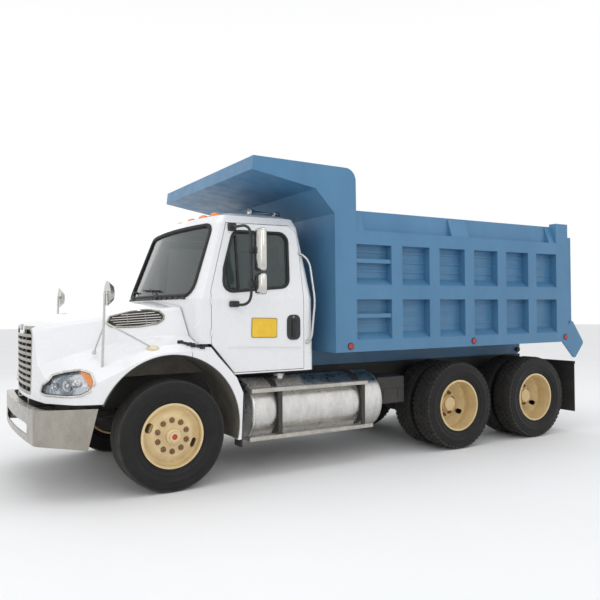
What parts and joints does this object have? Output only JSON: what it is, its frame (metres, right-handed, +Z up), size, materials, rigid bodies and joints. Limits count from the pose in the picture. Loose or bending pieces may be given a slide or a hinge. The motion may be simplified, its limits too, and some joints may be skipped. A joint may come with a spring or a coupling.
{
  "type": "dump truck",
  "caption": "Conventional-cab tandem-axle dump truck with a tipping steel bed, cab shield, tilting hood, opening doors, steered front wheels and top-hung tailgate.",
  "frame": {"origin": "on the ground at the middle of the overall length, on the centre line", "axes": "+X forward, +Y to the vehicle's left, +Z up"},
  "size_m": [6.945, 2.956, 3.154],
  "materials": {
    "chassis_paint": "satin black paint, dusty",
    "cast_iron": "oily cast iron",
    "cab_paint": "glossy white paint",
    "bed_paint": "semi-gloss blue paint",
    "wheel_paint": "cream paint, rusty at the nuts",
    "chrome": "polished, lightly marked",
    "bronze_chrome": "dulled chrome",
    "tank_metal": "brushed, stained",
    "step_metal": "cast tread, worn",
    "tyre": "matte rubber",
    "glass": "tinted, clear",
    "lamp_glass": "clear lens",
    "amber": "amber lens",
    "red": "red lens",
    "black_plastic": "grained black plastic",
    "rubber": "matte black rubber",
    "seat_fabric": "grey cloth"
  },
  "bodies": {
    "chassis": {"frame": "chassis_paint", "engine": "cast_iron", "front_axle": "chassis_paint", "drive_axles": "chassis_paint", "springs": "chassis_paint", "front_bumper": "chrome", "cab_shell": "cab_paint", "cab_roof": "cab_paint", "cab_glass": "glass", "dashboard": "black_plastic", "seats": "seat_fabric", "roof_lamps": "amber", "quarter_fenders": "cab_paint", "fuel_tanks": "tank_metal", "tank_steps": "step_metal", "equipment_box": "black_plastic", "mud_flaps": "rubber"},
    "hood": {"hood": "cab_paint", "grille": "bronze_chrome", "headlamps": "lamp_glass", "hood_vents": "bronze_chrome", "hood_mirrors": "chrome"},
    "bed": {"bed_floor": "bed_paint", "bed_sills": "bed_paint", "bed_side_left": "bed_paint", "bed_side_right": "bed_paint", "cab_shield": "bed_paint", "marker_lamps": "red"},
    "tailgate": {"tailgate": "bed_paint"},
    "hoist_barrels": {"hoist_barrels": "chassis_paint"},
    "hoist_rods": {"hoist_rods": "chrome"},
    "door_left": {"door_left": "cab_paint", "door_glass_left": "glass", "mirror_left": "black_plastic"},
    "knuckle_left": {"knuckle_left": "chassis_paint"},
    "front_wheel_left": {"front_wheel_left": "wheel_paint", "front_tyre_left": "tyre"},
    "mid_wheels_left": {"mid_wheels_left": "wheel_paint", "mid_tyres_left": "tyre"},
    "rear_wheels_left": {"rear_wheels_left": "wheel_paint", "rear_tyres_left": "tyre"},
    "door_right": {"door_right": "cab_paint", "door_glass_right": "glass", "mirror_right": "black_plastic"},
    "knuckle_right": {"knuckle_right": "chassis_paint"},
    "front_wheel_right": {"front_wheel_right": "wheel_paint", "front_tyre_right": "tyre"},
    "mid_wheels_right": {"mid_wheels_right": "wheel_paint", "mid_tyres_right": "tyre"},
    "rear_wheels_right": {"rear_wheels_right": "wheel_paint", "rear_tyres_right": "tyre"}
  },
  "joints": [
    {"name": "bed_tip", "type": "hinge", "parent": "chassis", "child": "bed", "pos_m": [-3.0525, 0, 1.065], "axis": [0, -1, 0], "range_deg": [0, 50]},
    {"name": "tailgate_swing", "type": "hinge", "parent": "bed", "child": "tailgate", "pos_m": [-3.1405, 0, 2.64], "axis": [0, 1, 0], "range_deg": [0, 60]},
    {"name": "hoist_swing", "type": "hinge", "parent": "chassis", "child": "hoist_barrels", "pos_m": [-2.0225, 0, 0.77], "axis": [0, -1, 0], "range_deg": [0, 65.01]},
    {"name": "hoist_stroke", "type": "slide", "parent": "hoist_barrels", "child": "hoist_rods", "axis": [0.9776, 0, 0.2106], "range_m": [0, 0.7972]},
    {"name": "hood_tilt", "type": "hinge", "parent": "chassis", "child": "hood", "pos_m": [3.3725, 0, 0.826], "axis": [0, 1, 0], "range_deg": [0, 60]},
    {"name": "door_left_hinge", "type": "hinge", "parent": "chassis", "child": "door_left", "pos_m": [1.8775, 1.096, 1.5], "axis": [0, 0, -1], "range_deg": [0, 70]},
    {"name": "steer_left", "type": "hinge", "parent": "chassis", "child": "knuckle_left", "pos_m": [2.2775, 0.845, 0.51], "axis": [0, 0, 1], "range_deg": [-35, 35]},
    {"name": "front_wheel_left_spin", "type": "hinge", "parent": "knuckle_left", "child": "front_wheel_left", "pos_m": [2.2775, 1.021, 0.51], "axis": [0, 1, 0], "continuous": true},
    {"name": "mid_wheels_left_spin", "type": "hinge", "parent": "chassis", "child": "mid_wheels_left", "pos_m": [-1.2245, 0.905, 0.51], "axis": [0, 1, 0], "continuous": true},
    {"name": "rear_wheels_left_spin", "type": "hinge", "parent": "chassis", "child": "rear_wheels_left", "pos_m": [-2.5505, 0.905, 0.51], "axis": [0, 1, 0], "continuous": true},
    {"name": "door_right_hinge", "type": "hinge", "parent": "chassis", "child": "door_right", "pos_m": [1.8775, -1.096, 1.5], "axis": [0, 0, 1], "range_deg": [0, 70]},
    {"name": "steer_right", "type": "hinge", "parent": "chassis", "child": "knuckle_right", "pos_m": [2.2775, -0.845, 0.51], "axis": [0, 0, 1], "range_deg": [-35, 35]},
    {"name": "front_wheel_right_spin", "type": "hinge", "parent": "knuckle_right", "child": "front_wheel_right", "pos_m": [2.2775, -1.021, 0.51], "axis": [0, 1, 0], "continuous": true},
    {"name": "mid_wheels_right_spin", "type": "hinge", "parent": "chassis", "child": "mid_wheels_right", "pos_m": [-1.2245, -0.905, 0.51], "axis": [0, 1, 0], "continuous": true},
    {"name": "rear_wheels_right_spin", "type": "hinge", "parent": "chassis", "child": "rear_wheels_right", "pos_m": [-2.5505, -0.905, 0.51], "axis": [0, 1, 0], "continuous": true}
  ],
  "couplings": [
    {"joint": "steer_right", "follows": "steer_left", "ratio": 1},
    {"joint": "hoist_swing", "follows": "bed_tip", "ratio": 1.2962},
    {"joint": "hoist_stroke", "follows": "bed_tip", "m_per_rad": 0.91119}
  ]
}
